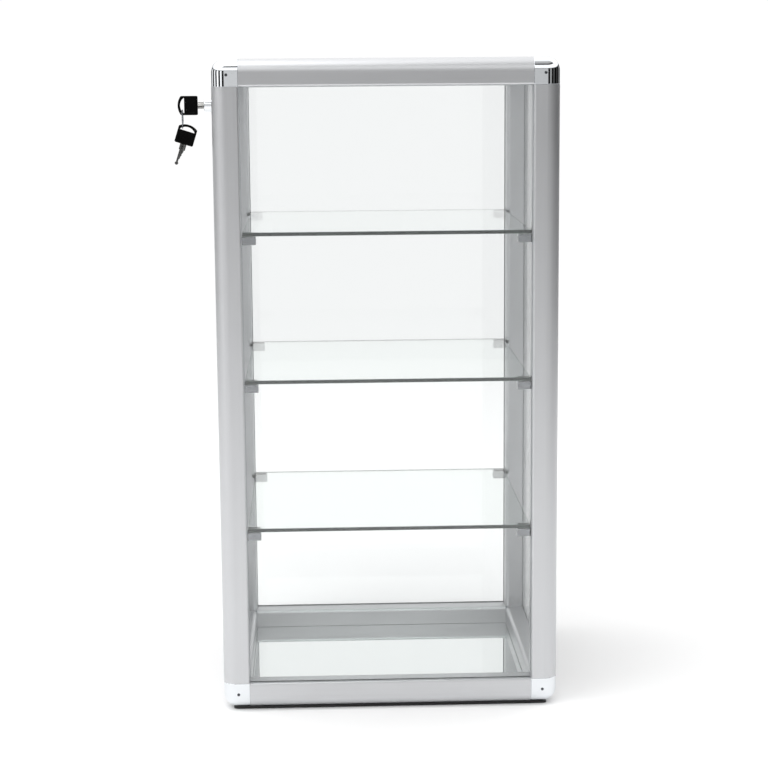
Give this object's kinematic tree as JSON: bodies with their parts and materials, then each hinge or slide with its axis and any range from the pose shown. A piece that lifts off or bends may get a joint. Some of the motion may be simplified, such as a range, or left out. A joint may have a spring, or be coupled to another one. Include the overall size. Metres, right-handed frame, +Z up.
{
  "type": "lockable countertop display case",
  "caption": "Tall countertop display case: aluminium frame, chromed corner caps, clear glass sides, a lockable swinging side door, glass shelves on clips and a mirror floor.",
  "frame": {"origin": "centre of the underside of the base board", "axes": "+Z up, +X to the right seen from the front, +Y from the front face to the back; the door is on the -X side"},
  "size_m": [0.3969, 0.305, 0.686],
  "materials": {
    "frame_aluminium": "satin anodised extrusion",
    "cap_chrome": "polished chrome plate",
    "bracket_zinc": "plain die-cast zinc",
    "screw_steel": "zinc-plated steel",
    "clear_glass": "clear float glass",
    "shelf_glass": "clear float glass, polished edges",
    "clip_chrome": "polished chrome plate",
    "pad_clear": "clear soft vinyl",
    "floor_mirror": "silvered mirror",
    "seal_rubber": "grey flexible vinyl, half matt",
    "base_black": "matt black board",
    "hinge_chrome": "polished chrome plate",
    "bush_nylon": "natural nylon",
    "lock_chrome": "polished chrome plate",
    "cam_steel": "zinc-plated steel",
    "key_nickel": "nickel-plated steel",
    "key_plastic": "black moulded plastic, satin",
    "ring_steel": "bright nickel-plated wire"
  },
  "bodies": {
    "case": {"base_board": "base_black", "base_screws": "screw_steel", "clip_pads": "pad_clear", "clip_screws_lower": "screw_steel", "clip_screws_middle": "screw_steel", "clip_screws_upper": "screw_steel", "corner_brackets_bottom": "bracket_zinc", "corner_brackets_top": "bracket_zinc", "corner_cap_bottom_back_left": "cap_chrome", "corner_cap_bottom_back_right": "cap_chrome", "corner_cap_bottom_front_left": "cap_chrome", "corner_cap_bottom_front_right": "cap_chrome", "corner_cap_top_back_left": "cap_chrome", "corner_cap_top_back_right": "cap_chrome", "corner_cap_top_front_left": "cap_chrome", "corner_cap_top_front_right": "cap_chrome", "corner_screws": "screw_steel", "door_seal": "seal_rubber", "glass_back": "clear_glass", "glass_front": "clear_glass", "glass_right": "clear_glass", "glass_top": "clear_glass", "glazing_gaskets": "seal_rubber", "hinge_bushes": "bush_nylon", "mirror_floor": "floor_mirror", "post_back_left": "frame_aluminium", "post_back_right": "frame_aluminium", "post_front_left": "frame_aluminium", "post_front_right": "frame_aluminium", "rail_bottom_back": "frame_aluminium", "rail_bottom_front": "frame_aluminium", "rail_bottom_left": "frame_aluminium", "rail_bottom_right": "frame_aluminium", "rail_top_back": "frame_aluminium", "rail_top_front": "frame_aluminium", "rail_top_left": "frame_aluminium", "rail_top_right": "frame_aluminium", "shelf_clips_lower": "clip_chrome", "shelf_clips_middle": "clip_chrome", "shelf_clips_upper": "clip_chrome"},
    "door": {"door_glass": "clear_glass", "hinge_clamp_bottom": "hinge_chrome", "hinge_clamp_top": "hinge_chrome", "hinge_pins": "screw_steel", "clamp_pads": "seal_rubber", "clamp_screws": "screw_steel", "lock_housing": "lock_chrome", "lock_nut": "lock_chrome", "lock_washers": "seal_rubber"},
    "lock_rotor": {"lock_plug": "lock_chrome", "lock_cam": "cam_steel", "cam_screw": "screw_steel"},
    "key": {"key_blade": "key_nickel", "key_bow": "key_plastic"},
    "key_ring": {"key_ring": "ring_steel"},
    "spare_key": {"spare_key_blade": "key_nickel", "spare_key_bow": "key_plastic"},
    "shelf_upper": {"shelf_upper": "shelf_glass"},
    "shelf_middle": {"shelf_middle": "shelf_glass"},
    "shelf_lower": {"shelf_lower": "shelf_glass"}
  },
  "joints": [
    {"name": "door_swing", "type": "hinge", "parent": "case", "child": "door", "pos_m": [-0.17225, 0.1115, 0.031], "axis": [0, 0, -1], "range_deg": [0, 105]},
    {"name": "lock_turn", "type": "hinge", "parent": "door", "child": "lock_rotor", "pos_m": [-0.18715, -0.105, 0.6388], "axis": [-1, 0, 0], "range_deg": [0, 90]},
    {"name": "key_withdraw", "type": "slide", "parent": "lock_rotor", "child": "key", "axis": [-1, 0, 0], "range_m": [0, 0.025]},
    {"name": "ring_swing", "type": "hinge", "parent": "key", "child": "key_ring", "pos_m": [-0.20965, -0.105, 0.6343], "axis": [0, 1, 0], "range_deg": [-20, 20]},
    {"name": "spare_key_swing", "type": "hinge", "parent": "key_ring", "child": "spare_key", "pos_m": [-0.20965, -0.105, 0.6158], "axis": [0, 1, 0], "range_deg": [-20, 20]},
    {"name": "shelf_upper_lift", "type": "slide", "parent": "case", "child": "shelf_upper", "axis": [0, 0, 1], "range_m": [0, 0.03]},
    {"name": "shelf_middle_lift", "type": "slide", "parent": "case", "child": "shelf_middle", "axis": [0, 0, 1], "range_m": [0, 0.03]},
    {"name": "shelf_lower_lift", "type": "slide", "parent": "case", "child": "shelf_lower", "axis": [0, 0, 1], "range_m": [0, 0.03]}
  ]
}
